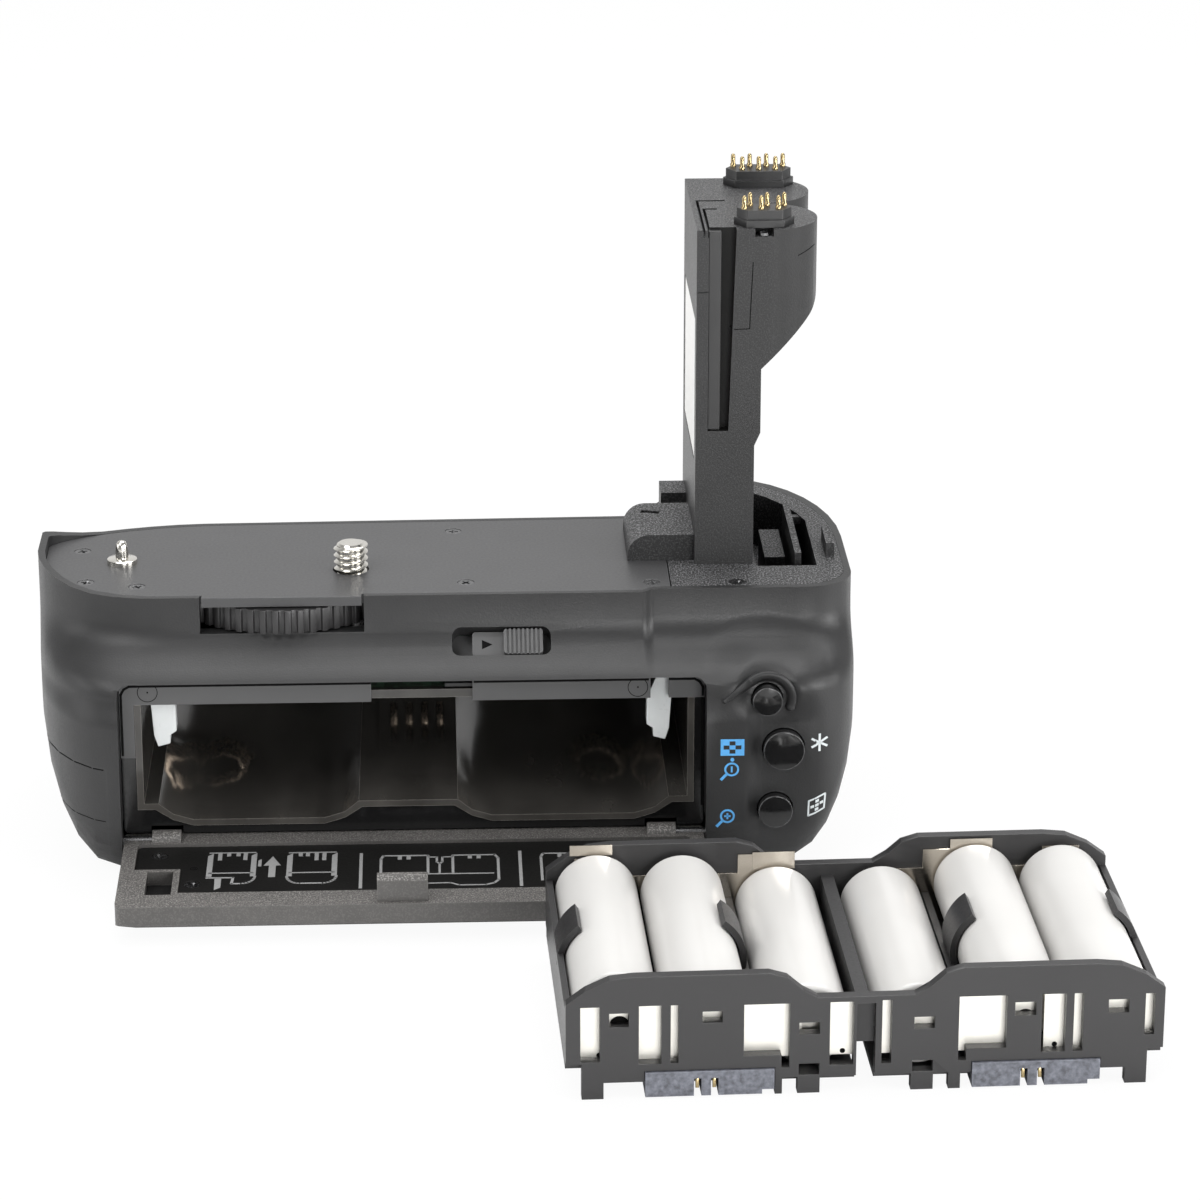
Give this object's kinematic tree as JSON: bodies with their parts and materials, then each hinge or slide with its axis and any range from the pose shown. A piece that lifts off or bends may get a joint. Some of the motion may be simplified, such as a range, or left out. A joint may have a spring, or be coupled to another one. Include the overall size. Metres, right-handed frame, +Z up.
{
  "type": "camera battery grip",
  "caption": "Battery grip that screws under a camera, with a thumb-wheel clamp screw, a contact stalk, a hinged battery door, portrait controls and a loose tray of round cells.",
  "frame": {"origin": "on the camera screw's axis, at the top face of the mounting plate", "axes": "+X along the grip to the stalk and hand grip, +Y to the lens side, away from the battery door, +Z up along the camera screw"},
  "size_m": [0.192, 0.1677, 0.1208],
  "materials": {
    "shell": "fine matte grain",
    "plate": "satin",
    "deck": "speckled matte grain",
    "rubber": "pebbled",
    "chamber": "glossy",
    "frame": "satin",
    "door": "satin",
    "door_inner": "matte",
    "control": "satin",
    "nickel": "bright nickel",
    "steel": "plain steel",
    "spring": "copper washed spring wire",
    "brass": "turned",
    "gold": "gold plated",
    "board": "lacquered board",
    "lever": "translucent white",
    "label": "bare paper label",
    "block": "matte",
    "tray": "matte",
    "strip": "nickel strip",
    "terminal": "matte",
    "cell": "shrink sleeve"
  },
  "bodies": {
    "housing": {"main_housing": "shell", "base_cover": "shell", "grip_skin": "rubber", "base_pad": "rubber", "tripod_bush": "brass", "top_plate": "plate", "plate_screws": "steel", "locating_pin": "nickel", "terminal_deck": "deck", "wheel_carrier": "steel", "wheel_retainer": "steel", "bearing_plate": "steel", "mouth_frame": "frame", "battery_chamber": "chamber", "contact_block": "chamber", "chamber_contacts": "gold", "eject_spring_left": "spring", "eject_spring_right": "spring", "main_board": "board", "lever_pins": "steel", "button_pad": "rubber", "button_board": "board", "dial_axle": "steel", "stalk_body": "deck", "stalk_screw": "steel", "stalk_rail": "deck", "stalk_label": "label", "rear_connector": "block", "front_connector": "block", "rear_pins": "gold", "front_pins": "gold", "hinge_pins": "steel"},
    "wheel": {"thumb_wheel": "control"},
    "screw": {"camera_screw": "nickel", "drive_pinion": "brass"},
    "slider": {"release_slider": "control", "latch_bar": "steel"},
    "left_lever": {"lock_lever_left": "lever"},
    "right_lever": {"lock_lever_right": "lever"},
    "upper_button": {"button_top": "control"},
    "mid_button": {"button_middle": "control"},
    "lower_button": {"button_low": "control"},
    "shutter": {"shutter_button": "control"},
    "function": {"function_button": "control"},
    "power": {"power_lever": "control"},
    "dial": {"control_dial": "control"},
    "door": {"door_panel": "door", "door_inner_plate": "door_inner", "door_skin": "rubber", "door_hook": "door", "door_screws": "steel"},
    "tray": {"tray_frame": "tray", "tray_near_plate": "tray", "tray_far_plate": "tray", "near_strips": "strip", "far_strips": "strip", "terminal_blocks": "terminal", "terminal_contacts": "gold", "battery_cells": "cell"}
  },
  "joints": [
    {"name": "door_hinge", "type": "hinge", "parent": "housing", "child": "door", "pos_m": [0.0111, -0.021, -0.045], "axis": [-1, 0, 0], "range_deg": [0, 90]},
    {"name": "wheel_spin", "type": "hinge", "parent": "housing", "child": "wheel", "pos_m": [-0.0124, 0.00317, -0.0043], "axis": [0, 0, 1], "continuous": true},
    {"name": "screw_spin", "type": "hinge", "parent": "housing", "child": "screw", "pos_m": [0, 0, 0], "axis": [0, 0, 1], "continuous": true},
    {"name": "slider_slide", "type": "slide", "parent": "housing", "child": "slider", "axis": [1, 0, 0], "range_m": [-0.0032, 0.0008]},
    {"name": "left_lever_swing", "type": "hinge", "parent": "housing", "child": "left_lever", "pos_m": [-0.0374, -0.0162, -0.0164], "axis": [0, 1, 0], "range_deg": [0, 10], "stiffness_Nm_per_rad": 0.004, "springref_deg": -14.32},
    {"name": "right_lever_swing", "type": "hinge", "parent": "housing", "child": "right_lever", "pos_m": [0.0592, -0.0162, -0.0164], "axis": [0, -1, 0], "range_deg": [0, 10], "stiffness_Nm_per_rad": 0.004, "springref_deg": -14.32},
    {"name": "upper_button_press", "type": "slide", "parent": "housing", "child": "upper_button", "axis": [0, 1, 0], "range_m": [0, 0.0008], "stiffness_N_per_m": 400, "springref_m": -0.0008},
    {"name": "mid_button_press", "type": "slide", "parent": "housing", "child": "mid_button", "axis": [0, 1, 0], "range_m": [0, 0.0008], "stiffness_N_per_m": 400, "springref_m": -0.0008},
    {"name": "lower_button_press", "type": "slide", "parent": "housing", "child": "lower_button", "axis": [0, 1, 0], "range_m": [0, 0.0008], "stiffness_N_per_m": 400, "springref_m": -0.0008},
    {"name": "shutter_press", "type": "slide", "parent": "housing", "child": "shutter", "axis": [-0.7431, -0.6691, 0], "range_m": [0, 0.001], "stiffness_N_per_m": 500, "springref_m": -0.0008},
    {"name": "function_press", "type": "slide", "parent": "housing", "child": "function", "axis": [-0.7431, -0.6691, 0], "range_m": [0, 0.0006], "stiffness_N_per_m": 400, "springref_m": -0.0008},
    {"name": "power_turn", "type": "hinge", "parent": "housing", "child": "power", "pos_m": [0.0859, 0.0398, -0.021], "axis": [0.7431, 0.6691, 0], "range_deg": [0, 40]},
    {"name": "dial_spin", "type": "hinge", "parent": "housing", "child": "dial", "pos_m": [0.0837, 0.02, -0.027], "axis": [0, 1, 0], "continuous": true},
    {"name": "tray_slide", "type": "slide", "parent": "housing", "child": "tray", "axis": [0.0297, -0.9996, 0], "range_m": [0, 0.08]}
  ],
  "couplings": [
    {"joint": "screw_spin", "follows": "wheel_spin", "ratio": 3.6667}
  ]
}
